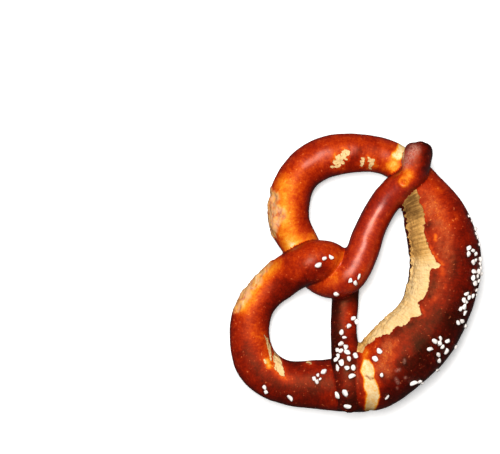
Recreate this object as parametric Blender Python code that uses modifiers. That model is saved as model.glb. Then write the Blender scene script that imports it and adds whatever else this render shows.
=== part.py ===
"""A lye-baked soft pretzel: one rope of dough, thick in the belly and thin in the arms, looped and twisted.

Run with: blender --background --python part.py

The pretzel lies on its flat underside, as it lay on the baking tray. +Z is up, the belly is towards -Y,
the two loops are towards +Y, and the origin is under the middle of its outline, on the tray.
"""

import bpy
import numpy as np
from mathutils import Vector

MM = 0.001

# The rope's stations, in millimetres: across, along, half-width and, where the rope is lifted off the tray
# by another stretch of itself, the height of its middle. The left end comes first.
LEFT_ARM = [
    (-72.5, -12, 7.6, 15),
    (-66, -9.2, 8.5, 19.5),
    (-58, -6, 8.5, 20.5),
    (-48, -2, 8.2, 16),
    (-38, 2, 7.5, 8),
    (-25, 5.5, 7.3, 6),
]
LEFT_TWIST = [
    (-14, 8.5, 7.4, 5.8),
    (-4, 13, 8.0, 6.5),
    (1.5, 20.5, 9.0, 10.5),
    (-1, 29, 11.2, 17),
    (-9, 38.5, 11.2, 13.5),
]
LEFT_LOOP = [
    (-18, 48, 10.6),
    (-28, 53.5, 10.0),
    (-41, 55, 10.0),
    (-53.8, 51.4, 10.6),
    (-64.6, 42, 11.4),
    (-69.3, 27.6, 11.3),
    (-66.8, 13, 12.3),
    (-62.5, -3, 14.3),
]
BELLY = [
    (-54, -17.5, 17.2),
    (-42, -26, 19.8),
    (-28.5, -34, 20.3),
    (-13, -40, 19.2),
    (6, -41.5, 19.4),
    (21, -38, 19.8),
    (34, -31, 18.9),
    (45, -22.5, 16.2),
]
RIGHT_LOOP = [
    (54, -13.5, 12.8),
    (61, -4.5, 10.6),
    (64.5, 6, 10.1),
    (63.5, 20, 10.3),
    (59, 34, 11.3),
    (51, 46, 11.6),
    (38.5, 53, 11.2),
    (25, 53.5, 11.4),
    (13, 49.5, 11.3),
]
RIGHT_TWIST = [
    (4, 40, 10.6, 7),
    (-3, 30, 9.6, 6),
    (-9.2, 19.6, 9.6, 9.5),
    (-5, 10.5, 9.4, 16),
]
RIGHT_ARM = [
    (7, 7, 8.9, 14.5),
    (22, 6.3, 8.8, 9.5),
    (36, 3.8, 8.1, 9.5),
    (49, -1, 8.3, 15),
    (61, -6.5, 8.0, 20.5),
    (70.5, -7, 7.8, 20),
    (77.3, -6.6, 7.6, 17.5),
]
ROPE = LEFT_ARM + LEFT_TWIST + LEFT_LOOP + BELLY + RIGHT_LOOP + RIGHT_TWIST + RIGHT_ARM

TRAY_SINK = 0.7  # height of the middle over the half-width, where the soft rope lies on the tray
END_ROUNDING = 0.5  # length over which a blunt end closes, over the half-width
END_FACE = 0.72  # half-width of an end's own face, over the half-width behind it
SAMPLE_STEP = 2.4 * MM
SECTION_ROUNDNESS = 6  # sides of the round section's quarter

CELL = 3.4 * MM  # side of the facets
WELD_WITHIN = 0.01 * MM
SMOOTHING = 0.5
SMOOTHING_PASSES = 2
TRAY_SIDE = 400 * MM
TRAY_DEPTH = 20 * MM

CRUST_COLOUR = (0.28, 0.045, 0.012, 1.0)
CRUST_ROUGHNESS = 0.35


def clear_scene():
    for obj in list(bpy.data.objects):
        bpy.data.objects.remove(obj)


def natural_spline(knots, values, at):
    """The natural cubic spline through values at knots, read at the places in at."""
    gaps = np.diff(knots)
    slopes = np.diff(values, axis=0) / gaps[:, None]
    count = len(knots)
    system = np.eye(count)
    bends = np.zeros_like(values)
    for i in range(1, count - 1):
        system[i, i - 1 : i + 2] = gaps[i - 1], 2 * (gaps[i - 1] + gaps[i]), gaps[i]
        bends[i] = 6 * (slopes[i] - slopes[i - 1])
    bends = np.linalg.solve(system, bends)
    i = np.clip(np.searchsorted(knots, at) - 1, 0, count - 2)
    gap = gaps[i][:, None]
    before = (knots[i + 1] - at)[:, None]
    after = (at - knots[i])[:, None]
    curve = (bends[i] * before**3 + bends[i + 1] * after**3) / (6 * gap)
    curve += (values[i] / gap - bends[i] * gap / 6) * before
    curve += (values[i + 1] / gap - bends[i + 1] * gap / 6) * after
    return curve


def rope_samples():
    """Points every SAMPLE_STEP along the rope's middle, as rows of x, y, z and half-width, in metres."""
    rows = [(s[0], s[1], s[3] if len(s) == 4 else TRAY_SINK * s[2], s[2]) for s in ROPE]
    values = np.array(rows) * MM
    knots = np.append(0, np.cumsum(np.linalg.norm(np.diff(values[:, :3], axis=0), axis=1)))
    at = np.linspace(0, knots[-1], round(knots[-1] / SAMPLE_STEP) + 1)
    samples = natural_spline(knots, values, at)
    from_end = np.minimum(at, knots[-1] - at)
    closing = np.clip(1 - from_end / (END_ROUNDING * samples[:, 3]), 0, 1)
    samples[:, 3] *= np.maximum(END_FACE, np.sqrt(1 - closing**2))
    return samples


def make_rope(samples):
    """The rope as a round tube of changing width, which runs through itself where it crosses."""
    curve = bpy.data.curves.new("rope_line", "CURVE")
    curve.dimensions = "3D"
    curve.bevel_depth = 1.0
    curve.bevel_resolution = SECTION_ROUNDNESS
    curve.use_fill_caps = True
    spline = curve.splines.new("POLY")
    spline.points.add(len(samples) - 1)
    for point, (x, y, z, half_width) in zip(spline.points, samples):
        point.co = (x, y, z, 1)
        point.radius = half_width
    line = bpy.data.objects.new("rope_line", curve)
    bpy.context.scene.collection.objects.link(line)
    bpy.context.view_layer.update()
    evaluated = line.evaluated_get(bpy.context.evaluated_depsgraph_get())
    mesh = bpy.data.meshes.new_from_object(evaluated)
    mesh.name = "rope"
    bpy.data.objects.remove(line)
    return mesh


def add_welded_skin(pretzel):
    """One skin around the whole tangle, as dough that touches bakes together."""
    weld = pretzel.modifiers.new("close_the_ends", "WELD")
    weld.merge_threshold = WELD_WITHIN
    remesh = pretzel.modifiers.new("bake_together", "REMESH")
    remesh.mode = "VOXEL"
    remesh.voxel_size = CELL
    smooth = pretzel.modifiers.new("even_out", "SMOOTH")
    smooth.factor = SMOOTHING
    smooth.iterations = SMOOTHING_PASSES


def make_tray(cutters):
    """A block under the pretzel, whose top cuts the flat underside."""
    bpy.ops.mesh.primitive_cube_add(size=1, location=(0, 0, -TRAY_DEPTH / 2))
    tray = bpy.context.object
    tray.name = "tray"
    tray.scale = (TRAY_SIDE, TRAY_SIDE, TRAY_DEPTH)
    tray.hide_render = True
    tray.display_type = "WIRE"
    for collection in list(tray.users_collection):
        collection.objects.unlink(tray)
    cutters.objects.link(tray)
    return tray


def cut_underside(pretzel, tray):
    cut = pretzel.modifiers.new("flat_underside", "BOOLEAN")
    cut.operation = "DIFFERENCE"
    cut.object = tray


def centre_on_outline(pretzel):
    """Moves the pretzel over the origin, by the middle of the outline of its finished skin."""
    bpy.context.view_layer.update()
    evaluated = pretzel.evaluated_get(bpy.context.evaluated_depsgraph_get())
    corners = np.array([Vector(corner) for corner in evaluated.bound_box])
    middle = (corners.min(axis=0) + corners.max(axis=0)) / 2
    pretzel.location = (-middle[0], -middle[1], 0)


def crust_material():
    crust = bpy.data.materials.new("crust")
    crust.use_nodes = True
    shader = crust.node_tree.nodes["Principled BSDF"]
    shader.inputs["Base Color"].default_value = CRUST_COLOUR
    shader.inputs["Roughness"].default_value = CRUST_ROUGHNESS
    shader.inputs["Metallic"].default_value = 0.0
    return crust


def main():
    clear_scene()
    parts = bpy.data.collections.new("soft_pretzel")
    cutters = bpy.data.collections.new("cutters")
    for collection in (parts, cutters):
        bpy.context.scene.collection.children.link(collection)
    pretzel = bpy.data.objects.new("pretzel", make_rope(rope_samples()))
    parts.objects.link(pretzel)
    pretzel.data.materials.append(crust_material())
    pretzel.data.shade_smooth()
    add_welded_skin(pretzel)
    cut_underside(pretzel, make_tray(cutters))
    centre_on_outline(pretzel)


main()
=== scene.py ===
# %% [markdown]
# # A lye-baked soft pretzel
#
# A soft pretzel is one rope of dough: thick in the belly, thin in the two arms, looped and twisted
# over itself. It is dipped in lye, salted and baked, which gives a thin, glossy, red-brown crust
# over pale bread. This lesson builds the fine skin of that rope, tears it where the bread burst
# through, browns it, salts it and lights it.
#
# The first cell loads the measured frame: one solid, `pretzel`, that everything below has to fit.

# %% Load the frame
import math
import random

import bmesh
import bpy
import numpy as np
from mathutils import Matrix, Vector, noise
from mathutils.bvhtree import BVHTree


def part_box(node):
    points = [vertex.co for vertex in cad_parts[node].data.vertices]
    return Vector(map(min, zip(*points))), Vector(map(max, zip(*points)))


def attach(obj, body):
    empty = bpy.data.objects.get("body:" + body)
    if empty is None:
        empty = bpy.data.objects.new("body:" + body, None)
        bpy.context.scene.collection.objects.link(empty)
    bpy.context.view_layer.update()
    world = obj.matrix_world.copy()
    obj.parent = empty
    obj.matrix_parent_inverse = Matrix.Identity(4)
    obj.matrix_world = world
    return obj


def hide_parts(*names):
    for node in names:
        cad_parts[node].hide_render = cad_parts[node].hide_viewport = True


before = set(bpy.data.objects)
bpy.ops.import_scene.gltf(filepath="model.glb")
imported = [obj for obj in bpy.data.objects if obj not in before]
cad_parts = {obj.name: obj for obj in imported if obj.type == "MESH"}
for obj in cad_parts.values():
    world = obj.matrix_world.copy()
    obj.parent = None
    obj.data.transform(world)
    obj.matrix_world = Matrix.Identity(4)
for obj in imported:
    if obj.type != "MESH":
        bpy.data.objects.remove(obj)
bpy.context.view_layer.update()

MM = 0.001

# %% [markdown]
# ## The rope's line
#
# The baker rolls one rope and lays it in its knot, so the model starts from the same thing: a line
# with a half-width at every point. It could be drawn as a Bezier curve by hand. Here it is a list of
# stations in millimetres - across, along, half-width and, where another stretch lifts it off the
# tray, the height of its middle - and a natural cubic spline through them, which bends the way a
# soft rope does.

# %% Stations
LEFT_ARM = [
    (-73.3, -12.8, 8.0, 15),
    (-66, -9.2, 8.5, 19.5),
    (-58, -6, 8.5, 20.5),
    (-48, -2, 8.2, 16),
    (-38, 2, 7.5, 8),
    (-25, 5.5, 7.3, 6),
]
LEFT_TWIST = [
    (-14, 8.5, 7.4, 5.8),
    (-4, 13, 8.0, 6.5),
    (1.5, 20.5, 9.0, 10.5),
    (-1, 29, 11.2, 17),
    (-9, 38.5, 11.2, 13.5),
]
LEFT_LOOP = [
    (-19.2, 46.4, 11.0),
    (-28.6, 52, 10.3),
    (-41.2, 54.9, 10.9),
    (-54, 51.9, 11.1),
    (-66.6, 43.5, 12.1),
    (-71.6, 27.1, 12.3),
    (-68.5, 12.4, 13.1),
    (-63.4, -3.5, 15),
]
BELLY = [
    (-55.2, -18.6, 18.0),
    (-42.5, -26.7, 20),
    (-28.9, -34.8, 20.3),
    (-13.2, -40.5, 19.4),
    (6, -41.5, 19.4),
    (21, -38, 19.8),
    (34, -31, 18.9),
    (45, -22.5, 16.2),
]
RIGHT_LOOP = [
    (54, -13.5, 12.8),
    (61, -4.5, 10.6),
    (64.5, 6, 10.1),
    (63.5, 20, 10.3),
    (59, 34, 11.3),
    (51, 46, 11.6),
    (38.5, 53, 11.2),
    (25, 53.5, 11.4),
    (13, 49.5, 11.3),
]
RIGHT_TWIST = [
    (4, 40, 10.6, 7),
    (-5.6, 30.5, 10.5, 6),
    (-10, 20.3, 9.9, 9.5),
    (-5, 10.5, 9.4, 16),
]
RIGHT_ARM = [
    (7, 7, 8.9, 14.5),
    (22, 6.3, 8.8, 10.6),
    (36, 3.8, 8.1, 10.4),
    (49, -1, 8.3, 14),
    (61, -7.0, 7.6, 20.5),
    (70.5, -6.2, 8.2, 20),
    (76.4, -6, 7.7, 17.5),
]
STRETCHES = {
    "left_arm": LEFT_ARM,
    "left_twist": LEFT_TWIST,
    "left_loop": LEFT_LOOP,
    "belly": BELLY,
    "right_loop": RIGHT_LOOP,
    "right_twist": RIGHT_TWIST,
    "right_arm": RIGHT_ARM,
}
print("the rope has", sum(len(stations) for stations in STRETCHES.values()), "stations")

# %% The line through the stations
TRAY_SINK = 0.7  # height of the middle over the half-width, where the soft rope lies on the tray
END_ROUNDING = 0.5  # length over which a blunt end closes, over the half-width
END_FACE = 0.72  # half-width of an end's own face, over the half-width behind it
LINE_STEP = 1.0


def natural_spline(knots, values, at):
    """The natural cubic spline through values at knots, read at the places in at."""
    gaps = np.diff(knots)
    slopes = np.diff(values, axis=0) / gaps[:, None]
    count = len(knots)
    system = np.eye(count)
    bends = np.zeros_like(values)
    for i in range(1, count - 1):
        system[i, i - 1 : i + 2] = gaps[i - 1], 2 * (gaps[i - 1] + gaps[i]), gaps[i]
        bends[i] = 6 * (slopes[i] - slopes[i - 1])
    bends = np.linalg.solve(system, bends)
    i = np.clip(np.searchsorted(knots, at) - 1, 0, count - 2)
    gap = gaps[i][:, None]
    before = (knots[i + 1] - at)[:, None]
    after = (at - knots[i])[:, None]
    curve = (bends[i] * before**3 + bends[i + 1] * after**3) / (6 * gap)
    curve += (values[i] / gap - bends[i] * gap / 6) * before
    curve += (values[i + 1] / gap - bends[i + 1] * gap / 6) * after
    return curve


stations = [s for stretch in STRETCHES.values() for s in stretch]
rows = [(s[0], s[1], s[3] if len(s) == 4 else TRAY_SINK * s[2], s[2]) for s in stations]
rows = np.array(rows, float)
station_at = np.append(0, np.cumsum(np.linalg.norm(np.diff(rows[:, :3], axis=0), axis=1)))
rope_length = station_at[-1]
line_at = np.linspace(0, rope_length, round(rope_length / LINE_STEP) + 1)
line = natural_spline(station_at, rows, line_at)
line_middle = line[:, :3]
line_width = line[:, 3].copy()
from_end = np.minimum(line_at, rope_length - line_at)
closing = np.clip(1 - from_end / (END_ROUNDING * line_width), 0, 1)
tube_width = line_width * np.maximum(END_FACE, np.sqrt(1 - closing**2))
print("the rope is", round(rope_length), "mm long, on", len(line), "points")

# %% [markdown]
# ## One skin over the whole knot
#
# Where the rope crosses itself, the dough bakes together into one crust. A swept tube alone would
# only run through itself there. So the tube is made first, from a curve with a round bevel, and a
# Remesh modifier in voxel mode then wraps the outside of it in one closed skin. Its voxels are small
# enough for the ragged edges of a tear. A light Smooth takes their steps off.

# %% Sweep the tube and wrap it
VOXEL = 0.95 * MM
SECTION_ROUNDNESS = 14
SKIN_SMOOTHING_PASSES = 5

curve = bpy.data.curves.new("rope_line", "CURVE")
curve.dimensions = "3D"
curve.bevel_depth = 1.0
curve.bevel_resolution = SECTION_ROUNDNESS
curve.use_fill_caps = True
spline = curve.splines.new("POLY")
spline.points.add(len(line) - 1)
for point, middle, width in zip(spline.points, line_middle, tube_width):
    point.co = (*(middle * MM), 1)
    point.radius = width * MM
tube = bpy.data.objects.new("rope_tube", curve)
bpy.context.collection.objects.link(tube)
tube_mesh = bpy.data.meshes.new_from_object(tube)
bpy.data.objects.remove(tube)
bpy.data.curves.remove(curve)

skin = bpy.data.objects.new("pretzel_skin", tube_mesh)
bpy.context.collection.objects.link(skin)
weld = skin.modifiers.new("weld_caps", "WELD")
weld.merge_threshold = 0.01 * MM
wrap = skin.modifiers.new("wrap", "REMESH")
wrap.mode = "VOXEL"
wrap.voxel_size = VOXEL
ease = skin.modifiers.new("ease", "SMOOTH")
ease.factor = 0.5
ease.iterations = SKIN_SMOOTHING_PASSES
graph = bpy.context.evaluated_depsgraph_get()
skin_mesh = bpy.data.meshes.new_from_object(skin.evaluated_get(graph))
skin.modifiers.clear()
skin.data = skin_mesh
bpy.data.meshes.remove(tube_mesh)
print("the skin has", len(skin_mesh.polygons), "faces")

# %% [markdown]
# Where stretches of the rope fold on each other, the wrapping can shut in a bubble no larger than a
# voxel. Nobody would see it, but a mesh that is used again should have nothing loose inside. What
# hangs together with the highest point is the skin, and the rest goes.

# %% No bubbles inside
bm = bmesh.new()
bm.from_mesh(skin_mesh)
highest = max(bm.verts, key=lambda vertex: vertex.co.z)
reached = {highest}
waiting = [highest]
while waiting:
    vertex = waiting.pop()
    for edge in vertex.link_edges:
        neighbour = edge.other_vert(vertex)
        if neighbour not in reached:
            reached.add(neighbour)
            waiting.append(neighbour)
bubbles = [vertex for vertex in bm.verts if vertex not in reached]
bmesh.ops.delete(bm, geom=bubbles, context="VERTS")
bm.to_mesh(skin_mesh)
bm.free()
print(len(bubbles), "points of bubbles taken out")

# %% [markdown]
# ## Where a point of the skin lies on the rope
#
# Every mark on a pretzel belongs to its rope: the split runs along the belly, the pale band runs
# round a shoulder. So each point of the skin gets two numbers, as on a tape measure: how far along
# the rope it is, and how far round from the crest, both in millimetres. The nearest point of the
# line gives them. Distance is counted in half-widths, so that at a crossing a point belongs to the
# stretch whose skin it is.

# %% Along and round
line_ahead = np.gradient(line_middle, axis=0)
line_ahead /= np.linalg.norm(line_ahead, axis=1)[:, None]
line_inner = np.cross((0, 0, 1), line_ahead)
line_inner /= np.linalg.norm(line_inner, axis=1)[:, None]
line_up = np.cross(line_ahead, line_inner)


def points_of(mesh):
    """A mesh's points, in millimetres."""
    places = np.empty(len(mesh.vertices) * 3, np.float32)
    mesh.vertices.foreach_get("co", places)
    return places.reshape(-1, 3).astype(float) / MM


def read_tape(points):
    """For each point: millimetres along the rope, the turn from its crest, and the half-width there."""
    nearest = np.empty(len(points), int)
    for first in range(0, len(points), 4000):
        gap = points[first : first + 4000, None] - line_middle
        reach = np.sqrt((gap**2).sum(2)) / line_width
        nearest[first : first + 4000] = reach.argmin(1)
    gap = points - line_middle[nearest]
    along = line_at[nearest] + (gap * line_ahead[nearest]).sum(1)
    turn = np.arctan2((gap * line_inner[nearest]).sum(1), (gap * line_up[nearest]).sum(1))
    return along, turn, line_width[nearest]


along, turn, width = read_tape(points_of(skin_mesh))
print("half-widths run from", round(width.min(), 1), "to", round(width.max(), 1), "mm")

# %% [markdown]
# The belly's inner side will be torn, with edges like torn paper. Faces of a millimetre can't show
# that, so the faces there are divided once more. Dividing all of them would only make the skin heavy.

# %% Finer faces where the belly tears
TORN_SIDE = (248, 374, math.radians(-12), math.radians(112))  # along in mm, and turn from the crest

low, high, turn_low, turn_high = TORN_SIDE
fine = (along > low) & (along < high) & (turn > turn_low) & (turn < turn_high)
bm = bmesh.new()
bm.from_mesh(skin_mesh)
bm.verts.ensure_lookup_table()
edges = [edge for edge in bm.edges if all(fine[vertex.index] for vertex in edge.verts)]
bmesh.ops.subdivide_edges(bm, edges=edges, cuts=1, use_grid_fill=True)
bm.to_mesh(skin_mesh)
bm.free()
bare = points_of(skin_mesh)
along, turn, width = read_tape(bare)
around = turn * width
print("the skin now has", len(skin_mesh.polygons), "faces")

# %% [markdown]
# ## Marks on the rope
#
# A mark is easiest to give as a baker would point at it, looking down at the tray from a metre up: so
# many millimetres across and along. So each point of the skin also gets its place in that view. A
# point under the rope's widest line can't be seen from there, and takes the place on the outline
# beside it, so that a mark that reaches the outline runs on down the side. Two helpers measure from a
# mark: how far inside an outline a point lies, and how close it is to a stroke.

# %% Helpers for marks
EYE = (6.0, 69.8, 1000)  # where the marks are seen from, in mm
EYE_LEVEL = 20  # the height at which a mark's numbers are true

stretch_span = {}
first_station = 0
for name, its_stations in STRETCHES.items():
    last_station = first_station + len(its_stations) - 1
    stretch_span[name] = (station_at[first_station] - 11, station_at[last_station] + 11)
    first_station = last_station + 1


def along_line(values):
    """Values kept along the line, read beside each point of the skin."""
    return np.column_stack([np.interp(along, line_at, column) for column in values.T])


widest = np.clip(turn, -math.pi / 2, math.pi / 2)[:, None]
outline_spot = along_line(line_inner) * np.sin(widest) + along_line(line_up) * np.cos(widest)
outline_spot = along_line(line_middle) + outline_spot * width[:, None]
upper_side = np.where(np.abs(turn)[:, None] > math.pi / 2, outline_spot, bare)
nearer = (EYE[2] - EYE_LEVEL) / (EYE[2] - upper_side[:, 2:])
seen = EYE[:2] + (upper_side[:, :2] - EYE[:2]) * nearer


def of_stretch(stretch):
    """Which points of the skin are on a stretch."""
    low, high = stretch_span[stretch]
    return (along > low - 3) & (along < high + 3)


def depth_inside(outline, stretch):
    """How far a stretch's points are inside an outline, in millimetres; outside is negative."""
    depth = np.full(len(along), -20.0)
    chosen = of_stretch(stretch)
    start = np.array(outline, float)
    edge = np.roll(start, -1, axis=0) - start
    gap = seen[chosen][:, None] - start
    part = np.clip((gap * edge).sum(2) / (edge**2).sum(1), 0, 1)
    distance = np.linalg.norm(gap - part[..., None] * edge, axis=2).min(1)
    rise = np.where(edge[:, 1] == 0, 1e-9, edge[:, 1])
    crossed = (gap[..., 1] < 0) != (gap[..., 1] < edge[:, 1])
    crossed &= gap[..., 0] < edge[:, 0] * gap[..., 1] / rise
    inside = crossed.sum(1) % 2 == 1
    depth[chosen] = np.maximum(np.where(inside, distance, -distance), -20.0)
    return depth


def distance_to_stroke(spots, stretch):
    """How far each point is from a stroke through spots, in millimetres, and further off its stretch."""
    low, high = stretch_span[stretch]
    overrun = np.maximum(np.maximum(low - along, along - high), 0)
    distance = np.full(len(along), 99.0)
    chosen = overrun < 14
    points = seen[chosen]
    spots = np.array(spots, float)
    nearest = np.linalg.norm(points - spots[0], axis=1)
    for start, end in zip(spots, spots[1:]):
        edge = end - start
        part = np.clip((points - start) @ edge / (edge @ edge), 0, 1)
        nearest = np.minimum(nearest, np.linalg.norm(points - start - part[:, None] * edge, axis=1))
    distance[chosen] = nearest + 1.2 * overrun[chosen]
    return distance


def unevenness(points, size, seed):
    """Smooth random values between about -1 and 1, with lumps of a size in millimetres."""
    return np.array([noise.noise(Vector(p)) for p in points / size + seed * 7.3]) * 1.6


def fade(distance, reach):
    """1 at a mark, falling smoothly to 0 at its reach."""
    near = np.clip(1 - distance / reach, 0, 1)
    return near * near * (3 - 2 * near)


def rise_between(values, low, high):
    """0 below low, 1 above high, and smooth between."""
    part = np.clip((values - low) / (high - low), 0, 1)
    return part * part * (3 - 2 * part)


print("stretches:", {name: tuple(round(x) for x in span) for name, span in stretch_span.items()})

# %% [markdown]
# ## Where the bread shows
#
# The thick belly rises in the oven after its crust has set, so the crust splits along the inner side
# and the pale crumb bursts out. Its upper edge is torn like paper, with points and notches. Its lower
# edge is under the widest line, given in degrees round from the crest, and leaves ragged crust there.
# Stretch marks do the same in a smaller way: a pale band beside the left end, a patch beside the right
# end, and patches on the loops where the crust stuck and tore off. The outlines are frayed by two
# sizes of noise. The shader later draws the edge from the depth inside it.

# %% The belly's split
SPLIT_OUTLINE = [
    (56, -7), (53, -11), (49.6, -13.2), (46, -15), (43.5, -17.6), (40.8, -18.8), (38, -20.6),
    (35.6, -21.6), (34.6, -19.9), (32.6, -21.2), (29.4, -23.2), (25.6, -25.6), (22.2, -28.6),
    (19.6, -31), (17.8, -33), (16.4, -36.2), (14.6, -35.2), (13.2, -32.2), (10.6, -31.6), (7, -32.6),
    (3.2, -33.2), (-0.6, -33.4), (-4.4, -32.4), (-7.4, -30.1), (-9.2, -31.6), (-10.8, -33.2),
    (-12.6, -34.6), (-14.6, -33), (-16.3, -29), (-19.9, -28.4), (-22.2, -25.6), (-22.8, -23),
    (-25.1, -22), (-28.4, -20.7), (-29.8, -17.3), (-33.2, -13.7), (-36.4, -11.9), (-38.7, -9.8),
    (-42.4, -9), (-46, -2), (-30, 4), (0, -4), (30, 4), (56, 4),
]
SPLIT_LOW_TURN = [104, 102, 98, 92, 84, 78, 74, 72, 72, 78]  # degrees, from the left end to the right

split = depth_inside(SPLIT_OUTLINE, "belly")
clean_split = split.copy()
fray = 0.45 * unevenness(bare, 3.0, 1) + 0.45 * unevenness(bare, 1.3, 2)
split += fray * fade(np.abs(split), 6)
low_along = np.linspace(TORN_SIDE[0], TORN_SIDE[1], len(SPLIT_LOW_TURN))
low_edge = (np.interp(along, low_along, np.radians(SPLIT_LOW_TURN)) - turn) * width
low_edge += 1.5 * unevenness(bare, 4.6, 7) + 0.8 * unevenness(bare, 1.8, 8)
split = np.minimum(split, np.where(of_stretch("belly"), low_edge, -20))
ragged_edge = np.exp(-((np.clip(low_edge, -2, 9) / 1.6) ** 2)) * (clean_split > 2) * (along > 300)
print("the split shows on", round(100 * float((split > 0).mean()), 1), "% of the skin")

# %% The pale band and the torn patches
STRETCH_BAND = [
    (-45.6, -10.8), (-48.9, -11.1), (-52.7, -11.6), (-55.4, -13.9), (-58.2, -15), (-62, -16.6),
    (-64, -18.4), (-67.9, -19.3), (-72, -19.8), (-80, -22), (-76, -30), (-70.9, -25), (-66.9, -26),
    (-63.1, -25.8), (-58.4, -23.6), (-55.4, -21), (-53.8, -19.2), (-50.8, -18.8), (-47.6, -16.8),
    (-45, -13.7),
]
END_PATCH = [
    (80, 5.8), (80, -1), (69.9, -0.6), (66.8, 0.3), (64.8, 3), (64.7, 6.8), (67.5, 7.6), (69.4, 5.6),
    (71.9, 5.6),
]
LOOP_PATCHES = [  # stretch, how frayed, outline
    ("right_loop", 1.0, [(61.4, 33.4), (61.7, 29.5), (57.7, 29.5), (53.2, 30.9), (50.5, 32.4),
                         (50.1, 37.4), (54.4, 36.4), (58.7, 35.5)]),
    ("right_loop", 0.5, [(60.2, 20.9), (60.0, 23.0), (55.6, 22.6), (55.5, 20.6)]),
    ("right_loop", 0.6, [(61.4, 15.6), (61.2, 19.6), (57.4, 19.3), (55.0, 16.6), (55.4, 14.9), (58, 15.4)]),
    ("left_loop", 0.3, [(-49, 45.4), (-51.2, 43.3), (-55.5, 41.2), (-62, 38.6), (-61.6, 36.8), (-55.2, 39.2),
                        (-51.5, 41.2), (-49.4, 43.8)]),
    ("left_loop", 0.4, [(-54.7, 38.2), (-56.9, 35.9), (-58.7, 32.6), (-63, 29.9), (-67.5, 27.5),
                        (-67.9, 30), (-65, 34.1), (-62.4, 35.5), (-59, 36.6)]),
    ("left_loop", 0.5, [(-61.6, 41), (-62, 39.2), (-65.6, 38.2), (-66.4, 39.6), (-64, 40.6)]),
    ("left_loop", 0.5, [(-55.4, 18.8), (-55.4, 16), (-56.9, 15.4), (-57, 18.6)]),
]
torn = np.full(len(bare), -20.0)
for stretch, fraying, spots in LOOP_PATCHES:
    patch = depth_inside(spots, stretch)
    patch += fraying * (0.9 * unevenness(bare, 2.6, 5) + 0.7 * unevenness(bare, 1.3, 6)) * fade(np.abs(patch), 4)
    patch -= fraying * 2.4 * np.exp(-((unevenness(bare, 3.4, 38) / 0.13) ** 2))
    torn = np.maximum(torn, patch)
torn = np.minimum(torn, (math.radians(118) - np.abs(turn)) * width)
near_patch = fade(np.clip(-torn, 0, 99), 4)
band = depth_inside(STRETCH_BAND, "belly") + 0.3 * unevenness(bare, 4.5, 3)
end_patch = depth_inside(END_PATCH, "right_loop") + 0.3 * unevenness(bare, 3, 4)
crumb = np.maximum(split, torn)
print("bread shows on", round(100 * float((crumb > 0).mean()), 1), "% of the skin")

# %% [markdown]
# Both loops rose against a neighbour in the oven. There the crust couldn't brown: it was pulled off
# like a scab, and left a beige, wrinkled scar with small hollows on the outer side.

# %% The scars on the loops
SCARS = [
    ("right_loop", [(29.6, 64), (27.5, 60.5), (24.4, 59.8), (21.8, 60.2), (21.8, 56.8), (20, 53.7),
                    (17, 53), (13.4, 54.5), (9.4, 55.6), (3.9, 54.9), (2, 60), (12, 68), (22, 74), (31, 70)]),
    ("left_loop", [(-9, 53), (-17, 54.6), (-22.3, 55.2), (-25.3, 57.3), (-31.5, 58.8), (-37, 60.4),
                   (-42, 62.6), (-44, 72), (-28, 72), (-16, 68), (-7, 62)]),
]
scar = np.full(len(bare), -20.0)
for stretch, spots in SCARS:
    scar = np.maximum(scar, depth_inside(spots, stretch))
scar += 1.1 * unevenness(bare, 4, 31) + 0.5 * unevenness(bare, 1.5, 32)
scar = np.minimum(scar, (math.radians(103) - np.abs(turn)) * width + 1.8 * unevenness(bare, 5, 37))
scarred = rise_between(scar, -0.8, 1.4)
creases = np.exp(-((unevenness(bare * (0.6, 1, 1), 4.2, 33) / 0.12) ** 2)) * scarred
print("scars cover", round(100 * float(scarred.mean()), 1), "% of the skin")

# %% [markdown]
# ## How dark it baked, and painted light
#
# The crust's colour follows how much heat and lye each spot got: nearly cream where the dough was
# shaded or stretched late, orange, red-brown on the crests, and nearly black on thin ends and deep
# sides, where part of the dark is painted shade. A texture painted by hand would fix that to one
# picture. Here one number, from 0, unbaked, to 1, darkest, holds a base that changes along the rope,
# darker flanks, two sizes of unevenness, and strokes of a soft brush where this pretzel is lighter or
# darker. Some of those strokes are painted light: shade on sides turned away from the light, a shadow
# under a crossing, and lighter crests where highlights fall. One colour ramp reads it later.

# %% Browning along the rope
BASE_BROWNING = {
    "left_arm": [0.86, 0.82, 0.80, 0.77, 0.72, 0.68],
    "left_twist": [0.68, 0.62, 0.54, 0.54, 0.63],
    "left_loop": [0.67, 0.63, 0.60, 0.61, 0.66, 0.70, 0.70, 0.68],
    "belly": [0.68, 0.67, 0.69, 0.69, 0.68, 0.66, 0.62, 0.59],
    "right_loop": [0.57, 0.56, 0.56, 0.57, 0.56, 0.55, 0.54, 0.54, 0.50],
    "right_twist": [0.42, 0.52, 0.58, 0.58],
    "right_arm": [0.58, 0.61, 0.61, 0.60, 0.60, 0.66, 0.84],
}
base = [value for stretch in STRETCHES for value in BASE_BROWNING[stretch]]
browning_and_painted_light = np.interp(along, station_at, base)
# darker flanks: partly the deeper baking of the sides, partly painted shade where the sides turn away from the light
browning_and_painted_light += 0.20 * np.clip(np.abs(turn) / math.radians(90), 0, 1.15) ** 3
on_belly = of_stretch("belly") * 1.0
browning_and_painted_light += 0.05 * unevenness(bare, 14, 11) + 0.035 * unevenness(bare, 5, 12)
browning_and_painted_light += 0.02 * on_belly * unevenness(bare, 2.4, 13)
print("browning runs from", round(browning_and_painted_light.min(), 2), "to", round(browning_and_painted_light.max(), 2))

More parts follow.
